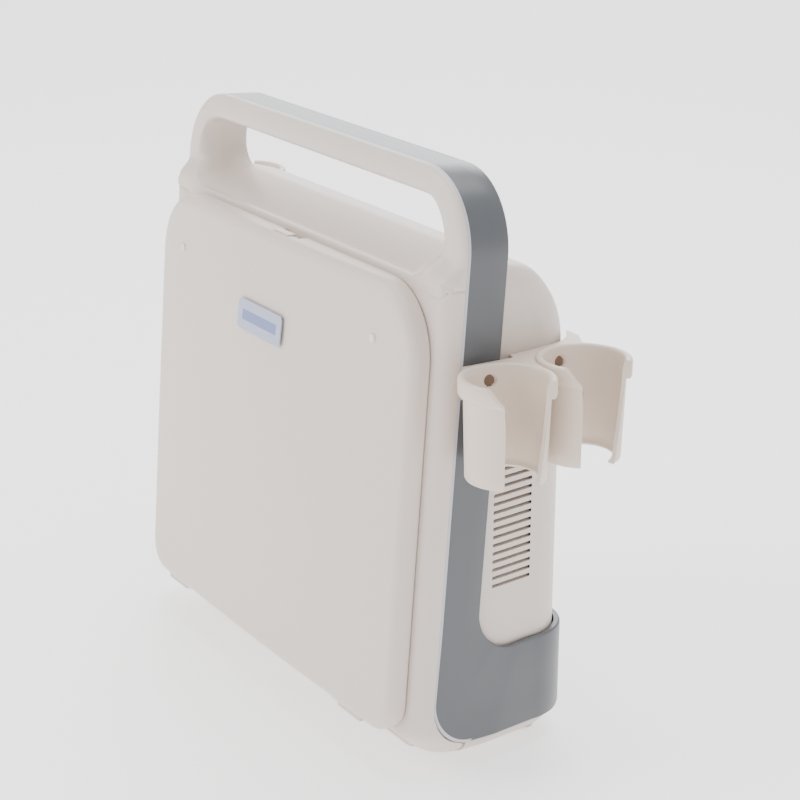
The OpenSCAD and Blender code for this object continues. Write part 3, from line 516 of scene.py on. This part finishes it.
def band():
    """One strip carried from the top of the handle down the side, round the inner corner and
    along the bumper to the middle of the rear, and mirrored. Two border curves, front and rear,
    give each column; across it the strip has a bevel, a flat face and a rounded rear edge. Over
    the handle and down the sides the bevel is coloured pale as a painted highlight, ending round the
    lower corner."""
    # over the handle and down the side, in slab coordinates
    n_top = np.concatenate([np.linspace(0, 119, 16)])
    arc = np.radians(np.linspace(90, 0, 18))
    u = np.concatenate([n_top[:-1], 119 + 45 * np.cos(arc), np.full(16, HALF_W)])
    v = np.concatenate([np.full(15, BODY_H), 305 + 45 * np.sin(arc), np.linspace(295, 104, 16)])
    nu = np.concatenate([np.zeros(15), np.cos(arc), np.ones(16)])
    nv = np.concatenate([np.ones(15), np.sin(arc), np.zeros(16)])
    leg_a, leg_b = slab(u, v, 0.0), slab(u, v, -BAND_D)
    origin = slab(0, 0, 0)
    leg_n = (slab(nu, nv, 0.0) - origin) / MM
    # round the inner corner, in the plane of the side
    drop = np.linspace(102, 44, 9)
    r_out, r_in = 28.0, 25.0
    bend = np.radians(np.linspace(180, 270, 17))[1:]
    ya = np.concatenate([drop * math.sin(LEAN), 44 * math.sin(LEAN) + r_out + r_out * np.cos(bend)])
    za = np.concatenate([drop * math.cos(LEAN), SKIRT_Z + r_out + r_out * np.sin(bend)])
    ybl = BAND_D * math.cos(LEAN) + 98 * math.sin(LEAN)
    bend2 = np.radians(np.linspace(180, 270, 25))
    yb = ybl + r_in + r_in * np.cos(bend2)
    zb = BUMPER_Z + r_in + r_in * np.sin(bend2)
    # along the bumper
    out = HALF_W - REAR_X
    _, _, _, _, run_end = plan(0.0, out, BUMPER_Y, 34.0)
    f, meet = np.linspace(0, 1, 12)[1:], 74.0
    shared = np.linspace(meet, run_end, 70)[1:]
    ra = np.concatenate([ya, ya[-1] + (meet - ya[-1]) * f, shared])
    rb = np.concatenate([yb, yb[-1] + (meet - yb[-1]) * f, shared])
    za = np.concatenate([za, np.full(len(ra) - len(ya), SKIRT_Z)])
    zb = np.concatenate([zb, np.full(len(rb) - len(yb), BUMPER_Z)])
    xa, pa, nax, nay, _ = plan(ra, out, BUMPER_Y, 34.0)
    xb, pb, nbx, nby, _ = plan(rb, out, BUMPER_Y, 34.0)
    low_a, low_b = upright(xa, pa, za), upright(xb, pb, zb)
    low_n = np.stack([(nax + nbx) / 2, (nay + nby) / 2, 0 * nax], -1)
    a = np.concatenate([leg_a, low_a])
    b = np.concatenate([leg_b, low_b])
    nrm = np.concatenate([leg_n, low_n])
    nrm /= np.linalg.norm(nrm, axis=1)[:, None]
    deep = np.concatenate([np.full(len(leg_a), 2.5), 2.5 + 1.2 * np.clip((rb - 50) / 20, 0, 1)])
    # pale: share of each column whose bevel is painted pale as a highlight; it also makes the bevel
    # narrower and shallower
    pale = np.concatenate([np.ones(len(leg_a)), 1 - np.clip((ra - 20) / 8, 0, 1)])
    span = np.linalg.norm(b - a, axis=1) / MM
    bevel = 2.6 - 0.6 * pale
    fall = 0.55 + 0.5 * (1 - pale)
    zero = 0 * span
    section = [(zero, deep), (zero, bevel * fall), (bevel * 0.12, bevel * fall * 0.5),
               (bevel * 0.45, bevel * fall * 0.12), (bevel, zero), (span * 0.3, zero - 0.0),
               (span * 0.6, zero), (span - 1.4, zero), (span - 0.5, zero + 0.3),
               (span, zero + 1.1), (span, deep)]
    rows = []
    for along, inward in section:
        s = (along / span)[:, None]
        rows.append(a + (b - a) * s - nrm * inward[:, None] * MM)
    right = np.array(rows)
    left = right[:, ::-1][:, 1:-1] * np.array([-1, 1, 1])
    points = np.concatenate([right, left], 1)
    marks = np.zeros(points.shape[:2], int)
    pale_all = np.concatenate([pale, pale[::-1][1:-1]])
    # the bevel rows take the painted-highlight material where pale is above 0.3
    marks[0:4] = (pale_all > 0.3).astype(int)[None]
    return surface("band_and_bumper", points, [grey_plastic, bevel_highlight_plastic], wrap_cols=True,
                   replaces=("mid_band",), marks=marks, angle=30)


band()


# ---- rear cover ----

VENTS = [109 + 5.0 * i for i in range(15)]
VENT_Y = (44.0, 73.0)
# Openings in the rear face: x from, x to, z from, z to
PORTS = [(-57, -27, 174, 236), (27, 57, 174, 236), (-123.2, -34, 86, 130), (62, 123.2, 92, 124)]
SPEAKER = [(89, 119, 192.0 + 5 * i, 194.0 + 5 * i) for i in range(6)]


def rear_cover():
    """Level rings stacked up the cover. Each ring runs back along one side, round the rear and
    forward along the other, and closes behind the slab. The roof comes forward on a quarter
    ellipse as the rings rise, and the heel and the sides draw in below. Slots and ports are
    parts of the grid pushed inwards, between pairs of lines a hair apart."""
    hair = 0.02
    z = list(np.linspace(16, 250, 30)) + [52, 64, 70, 78]
    for lo in VENTS:
        z += [lo - 1 - hair, lo - 1, lo + 1, lo + 1 + hair]
    for _, _, z0, z1 in PORTS + SPEAKER:
        z += [z0 - hair, z0, z1, z1 + hair]
    z = np.unique(np.round([q for q in z if q <= 243], 3))
    heel = np.radians([0, 18, 36, 54, 72, 90])
    roof = np.radians([4, 9, 15, 22, 30, 38, 46, 54, 62, 70, 78, 85, 90])
    levels = [(16 - 14 * math.sin(h), 14 * (1 - math.cos(h)), 0.0) for h in heel[::-1]]
    levels += [(q, 0.0, 0.0) for q in z if q > 16.01]
    levels += [(243 + 53 * math.sin(q), 0.0, q) for q in roof]
    side_y = np.array([0.0, 0.35, 0.7, 1.0])
    edges = sorted({x for p in PORTS + SPEAKER for x in p[:2]})
    flat = REAR_X - REAR_TAPER - REAR_R
    rear_x = sorted({round(q, 3) for x in edges for q in (x - hair, x + hair, -x - hair, -x + hair)}
                    | {round(q, 3) for q in np.linspace(-flat, flat, 21)[1:-1]}, reverse=True)
    rear_x = np.array([q for q in rear_x if abs(q) < flat])
    arc = np.radians(np.linspace(0, 90, 15))
    rings, marks = [], []
    inside_y = [VENT_Y[0] - hair, VENT_Y[0], 53.0, 63.0, VENT_Y[1], VENT_Y[1] + hair]
    for zz, inset, q in levels:
        y_face = REAR_Y - inset if q == 0 else 50 + (REAR_Y - 50) * math.cos(q)
        y_start = BAND_D / math.cos(LEAN) + zz * math.tan(LEAN) + 0.05
        if y_face - y_start < 6:
            y_face = y_start + 6
        r = min(REAR_R, (y_face - y_start) * 0.72)
        top_draw = 13 * (1 - math.sqrt(max(0.0, 1 - max(0.0, (zz - 281) / 15.2) ** 2)))
        yc = y_face - r
        xs = REAR_X - 1.7 * inset - top_draw
        taper = REAR_TAPER * min(1.0, max(0.0, (yc - 45) / (REAR_FLAT_Y - 45)))
        lead = y_start + (min(VENT_Y[0] - 2 * hair, yc - 2) - y_start) * side_y
        if q == 0:
            ys = np.concatenate([lead, inside_y])
        else:
            ys = np.concatenate([lead, lead[-1] + (yc - lead[-1] - 0.01) * np.linspace(0.1, 1, 6)])
        x_side = xs - taper * np.clip((ys - 45) / max(yc - 45, 1.0), 0, 1)
        if q == 0 and inset == 0:
            vent = np.any([(zz >= lo - 1) & (zz <= lo + 1) for lo in VENTS])
            push = np.where((ys >= VENT_Y[0]) & (ys <= VENT_Y[1]), 3.2 * vent, 0.0)
            x_side = x_side - push
        xr = xs - taper
        ax, ay = xr - r + r * np.cos(arc), yc + r * np.sin(arc)
        rx = rear_x * (xr - r) / flat
        ry = np.full(len(rx), y_face)
        if q == 0 and inset == 0:
            for x0, x1, z0, z1 in PORTS + SPEAKER:
                deep = 3.0 if (x0, x1, z0, z1) in SPEAKER else 9.0
                if z0 <= zz <= z1:
                    ry = np.where((rx > x0) & (rx < x1), y_face - deep, ry)
        x = np.concatenate([x_side, ax, rx, -ax[::-1], -x_side[::-1]])
        y = np.concatenate([ys, ay, ry, ay[::-1], ys[::-1]])
        rings.append(upright(x, y, zz))
    rings = np.array(rings)
    # close the bottom and the roof onto a line behind the slab
    first, last = rings[0].copy(), rings[-1].copy()
    first[:, 1] = rings[0][0, 1]
    last[:, 1] = rings[-1][0, 1]
    points = np.concatenate([first[None], rings, last[None]])
    marks = np.zeros(points.shape[:2], int)
    zc = points[:, 0, 2] / MM
    for lo in VENTS:
        rows = np.where((zc[:-1] >= lo - 1.001) & (zc[1:] <= lo + 1.001))[0]
        for cols in (range(5, 9), range(points.shape[1] - 10, points.shape[1] - 6)):
            for c in cols:
                marks[rows, c] = 1
    for x0, x1, z0, z1 in SPEAKER:
        rows = np.where((zc[:-1] >= z0 - 0.001) & (zc[1:] <= z1 + 0.001))[0]
        xm = points[5, :, 0] / MM
        ym = points[5, :, 1] / MM + DEPTH_MID
        for c in np.where((xm[:-1] < x1) & (xm[1:] > x0) & (ym[:-1] > 100))[0]:
            marks[rows, c] = 1
    return surface("rear_cover_shell", points, [white_plastic, slot_dark], wrap_rows=False,
                   wrap_cols=True, replaces=("rear_cover", "base_tray"), marks=marks, angle=40)


rear_cover()


# ---- probe holders ----

def cup(name, x, y, z, hand, screw_dy=0.0, replaces=()):
    """One cup as a section of its wall carried round from one side of the cable slot to the
    other. The section runs up the outside, over the collar and its rounded rim, and down the
    inside. The slot's front edge is upright and its rear edge slants, so the cup opens upwards."""
    # (height below the rim, radius) round the wall
    wall = [(-57.6, 18.2), (-58.0, 18.8), (-58.0, 20.9), (-57.6, 21.8), (-56.6, 22.3),
            (-50, 22.5), (-35, 23.0), (-20, 23.5), (-12, 23.7), (-10.6, 23.8), (-10.1, 24.2),
            (-10.0, 24.8), (-9.9, 26.0), (-9.6, 26.5), (-8.9, CUP_R), (-5, CUP_R),
            (-1.6, CUP_R), (-0.6, 26.4), (-0.1, 25.6), (0.0, 24.6), (-0.2, 23.4),
            (-0.9, 22.6), (-2.4, 22.3), (-12, 21.8), (-35, 20.9)]
    toe = np.array([(-52.5, 20.2), (-54.5, 19.8), (-55.9, 18.8), (-56.6, 18.0)])
    lower, upper = np.array(wall[:-2]), np.array(wall[-2:])
    near = np.linspace(-4.5, -14.5, 21)
    near = np.stack([near, np.interp(near, upper[::-1, 0], upper[::-1, 1])], -1)
    wall = np.concatenate([lower, near, upper[1:], toe])
    h, r = wall[:, 0], wall[:, 1]
    inner = np.arange(len(wall)) >= len(lower)
    front = np.radians(-36 - 20 * np.clip((h + 10) / 10, 0, 1) - 4 * np.clip((h + 14) / 6, 0, 1))
    frac = np.clip(-h / CUP_H, 0, 1)
    rear = np.radians(42 - 22 * frac)
    s = np.linspace(0, 1, 200)
    ang = rear[:, None] + s[None] * (2 * math.pi + front - rear)[:, None]
    away = np.hypot(r[:, None] * (ang - math.pi) + screw_dy, h[:, None] + SCREW_DROP)
    dent = np.clip((3.9 - away) / 0.9, 0, 1) * inner[:, None]
    rr = r[:, None] + 1.5 * dent
    px = rr * np.cos(ang)
    py = rr * np.sin(ang)
    pz = np.broadcast_to(h[:, None], px.shape)
    pts = np.stack([px, py, pz], -1)
    # close each end of the wall onto the middle of its thickness
    mid = (22.2 + (h + CUP_H) / CUP_H * 1.0)
    ends = []
    for e, a in ((0, rear), (-1, front)):
        ends.append(np.stack([mid * np.cos(a), mid * np.sin(a), h], -1))
    pts = np.concatenate([ends[0][:, None], pts, ends[1][:, None]], 1)
    pts = upright(hand * (x + pts[..., 0]), y + pts[..., 1], z + pts[..., 2])
    deep = np.concatenate([dent[:, :1], dent, dent[:, -1:]], 1)
    return surface(name, pts, [cup_plastic, hole_shade], wrap_rows=True, replaces=replaces,
                   marks=(deep > 0.75).astype(int), angle=38)


def web(name, cups, y0, y1, z, hand):
    """The shelf between the machine's side and its cups: from the side out to the nearest cup's
    wall, with long smooth ends, a rounded top edge and an underside that rises outwards."""
    y = np.linspace(y0, y1, 80)
    inner = np.where(y < 52, HALF_W + 0.25, REAR_X + 0.3 - REAR_TAPER * (y - 45) / 29)
    inner = np.where(y > 88, inner - (y - 88) ** 2 * 0.035, inner)
    outer = np.full(len(y), 1e3)
    for cx, cy in cups:
        dy = np.abs(y - cy)
        wall = cx - np.sqrt(np.maximum(23.2 ** 2 - dy ** 2, 0))
        outer = np.minimum(outer, np.where(dy < 23.1, wall, 1e3))
    lo, hi = min(c[1] for c in cups) - 2, max(c[1] for c in cups) + 14
    limit = np.where(y < lo, np.interp(lo, y, outer) - (np.maximum(lo - y, 0)) ** 1.3 * 1.0, 1e3)
    limit = np.where(y > hi, np.interp(hi, y, outer) - (np.maximum(y - hi, 0)) ** 1.2 * 1.1, limit)
    outer = np.minimum(np.minimum(outer, limit), max(c[0] for c in cups) - 6)
    outer = np.maximum(outer, inner + 0.6)
    depth = np.array([-21, -20.5, -14, -8, -4.5, -3.0, -2.2, -2.0, -2.0, -2.0])
    share = np.array([0.0, 0.25, 0.7, 0.9, 1.0, 0.99, 0.93, 0.85, 0.4, 0.0])
    x = inner[None] + (outer - inner)[None] * share[:, None]
    pts = np.stack([x, np.broadcast_to(y, x.shape), np.broadcast_to(depth[:, None], x.shape)], -1)
    e0, e1 = pts[:, :1].copy(), pts[:, -1:].copy()
    e0[..., 0], e1[..., 0] = inner[0], inner[-1]
    pts = np.concatenate([e0, pts, e1], 1)
    pts = upright(hand * pts[..., 0], pts[..., 1], z + pts[..., 2])
    return surface(name, pts, cup_plastic, wrap_rows=True, angle=40)


CUP_X = HALF_W + CUP_R + 4.8
cup("cup_right_front", CUP_X, 26.5, 248.0, 1, 3.5, replaces=("probe_holder_right",))
cup("cup_right_rear", CUP_X - 8.3, 82.8, 248.0, 1, replaces=("probe_holder_right",))
cup("cup_left", CUP_X, 78.0, 281.0, -1, replaces=("probe_holder_left",))
web("web_right", [(CUP_X, 26.5), (CUP_X - 8.3, 82.8)], 17.5, 108.0, 248.0, 1)
web("web_left", [(CUP_X, 78.0)], 55.0, 99.0, 277.0, -1)
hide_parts("probe_holder_right")
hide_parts("probe_holder_left")


# ---- the frame's own nodes ----

def screen_material():
    """Dark display glass: near black with a faint blue drift, clear coat and faint smudges."""
    return moulded("display_glass", (0.012, 0.015, 0.020), rough=0.09, grain=0.002, bump=0.004,
                   drift=0.2, coat=1.0)


def board_material():
    """Solder-masked board: green with darker traces cut by a brick pattern and a fine weave bump."""
    m = moulded("circuit_board", (0.02, 0.16, 0.06), rough=0.35, bump=0.1, drift=0.15)
    t = m.node_tree
    n, l = t.nodes, t.links
    b = n["Principled BSDF"]
    co = [q for q in n if q.type == "TEX_COORD"][0]
    brick = n.new("ShaderNodeTexBrick")
    brick.inputs["Scale"].default_value = 90.0
    brick.inputs["Mortar Size"].default_value = 0.02
    brick.inputs["Color1"].default_value = (0.02, 0.17, 0.06, 1)
    brick.inputs["Color2"].default_value = (0.015, 0.12, 0.045, 1)
    brick.inputs["Mortar"].default_value = (0.30, 0.24, 0.08, 1)
    l.new(co.outputs["Object"], brick.inputs["Vector"])
    l.new(brick.outputs["Color"], b.inputs["Base Color"])
    return m


def label_material():
    """Satin printed label: pale blue-grey with one plain mid-blue bar across its middle third."""
    m = moulded("label_face", (0.34, 0.37, 0.52), rough=0.3, bump=0.02, drift=0.02, coat=0.4)
    t = m.node_tree
    n, l = t.nodes, t.links
    b = n["Principled BSDF"]
    co = [q for q in n if q.type == "TEX_COORD"][0]
    ramp = [q for q in n if q.type == "VALTORGB"][0]
    sep = n.new("ShaderNodeSeparateXYZ")
    l.new(co.outputs["Object"], sep.inputs["Vector"])
    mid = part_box("label_plate")
    zc = (mid[0][2] + mid[1][2]) / 2
    def inside(socket, centre, half):
        off = n.new("ShaderNodeMath"); off.operation = "SUBTRACT"; off.inputs[1].default_value = centre
        l.new(socket, off.inputs[0])
        ab = n.new("ShaderNodeMath"); ab.operation = "ABSOLUTE"
        l.new(off.outputs[0], ab.inputs[0])
        lt = n.new("ShaderNodeMath"); lt.operation = "LESS_THAN"; lt.inputs[1].default_value = half
        l.new(ab.outputs[0], lt.inputs[0])
        return lt.outputs[0]
    both = n.new("ShaderNodeMath"); both.operation = "MULTIPLY"
    l.new(inside(sep.outputs["Z"], zc, 0.0032), both.inputs[0])
    l.new(inside(sep.outputs["X"], 0.0, 0.021), both.inputs[1])
    mix = n.new("ShaderNodeMix"); mix.data_type = "RGBA"
    l.new(both.outputs[0], mix.inputs[0])
    l.new(ramp.outputs["Color"], mix.inputs[6])
    mix.inputs[7].default_value = (0.10, 0.14, 0.36, 1)
    l.new(mix.outputs[2], b.inputs["Base Color"])
    return m


FINISHES = {
    "cover_white": white_plastic, "band_grey": grey_plastic, "dark_plastic": dark_plastic,
    "foot_rubber": rubber, "sheet_steel": steel, "board_green": board_material(), "brass": brass,
    "fin_aluminium": alloy, "screen_glass": screen_material(), "battery_blue": battery_blue,
    "deck_plastic": deck_plastic, "key_white": key_white, "key_grey": key_grey,
    "freeze_blue": freeze_blue, "power_green": power_green, "ball_red": ball_red,
    "label_blue": label_material(),
}
for name, obj in frame["nodes"].items():
    for i, used in enumerate(obj.data.materials):
        key = used.name.split(".")[0] if used else ""
        if key in FINISHES:
            obj.data.materials[i] = FINISHES[key]
        else:
            print("no finish for", name, key)

# ---- floor, light and camera ----

def floor():
    """A flat sheet of studio paper, far larger than the view."""
    s = np.linspace(-40, 40, 25)
    d = np.linspace(-40, 40, 25)
    x, y = np.meshgrid(s, d, indexing="ij")
    pts = np.stack([x, y, 0 * x], -1)
    mesh = bpy.data.meshes.new("studio_floor")
    r, c = np.meshgrid(np.arange(24), np.arange(24), indexing="ij")
    q = np.stack([r * 25 + c, (r + 1) * 25 + c, (r + 1) * 25 + c + 1, r * 25 + c + 1], -1).reshape(-1, 4)
    mesh.from_pydata(pts.reshape(-1, 3).tolist(), [], q.tolist())
    m = moulded("studio_paper", (0.93, 0.93, 0.93), rough=0.8, grain=0.002, bump=0.01, drift=0.004)
    glow = m.node_tree.nodes["Principled BSDF"]
    glow.inputs["Emission Color"].default_value = (1, 1, 1, 1)
    glow.inputs["Emission Strength"].default_value = 0.9
    mesh.materials.append(m)
    obj = bpy.data.objects.new("studio_floor", mesh)
    bpy.context.scene.collection.objects.link(obj)


def area(name, at, aim, size, power, colour=(1, 1, 1)):
    """A soft square light placed at a point and turned towards another."""
    data = bpy.data.lights.new(name, "AREA")
    data.shape = "SQUARE"
    data.size = size
    data.energy = power
    data.color = colour
    obj = bpy.data.objects.new(name, data)
    obj.location = at
    obj.rotation_euler = (Vector(aim) - Vector(at)).to_track_quat("-Z", "Y").to_euler()
    bpy.context.scene.collection.objects.link(obj)


floor()
area("key", (-1.2, -2.2, 1.7), (0, 0, 0.15), 1.5, 50, (1.0, 0.99, 0.97))
area("fill", (2.4, -0.5, 0.8), (0, 0, 0.18), 1.6, 5, (1.0, 0.93, 0.88))
area("top", (-0.3, 0.5, 2.4), (0, 0, 0.2), 2.0, 55, (0.97, 0.985, 1.0))
area("back", (-5.2, 3.6, 2.4), (0, 0, 0.3), 4.0, 230, (0.96, 0.98, 1.0))
world = bpy.data.worlds.new("studio")
world.use_nodes = True
world.node_tree.nodes["Background"].inputs["Color"].default_value = (1.0, 1.0, 1.0, 1)
world.node_tree.nodes["Background"].inputs["Strength"].default_value = 0.95
bpy.context.scene.world = world

AZ, EL = math.radians(59.37), math.radians(18.55)
lens = bpy.data.cameras.new("camera")
lens.lens = 97.59
lens.sensor_width = 36
lens.shift_x = 0.062
camera = bpy.data.objects.new("camera", lens)
camera.location = (1.09839, -0.64613, 0.60339)
look = Vector((-math.sin(AZ) * math.cos(EL), math.cos(AZ) * math.cos(EL), -math.sin(EL)))
camera.rotation_euler = look.to_track_quat("-Z", "Y").to_euler()
bpy.context.scene.collection.objects.link(camera)
bpy.context.scene.camera = camera
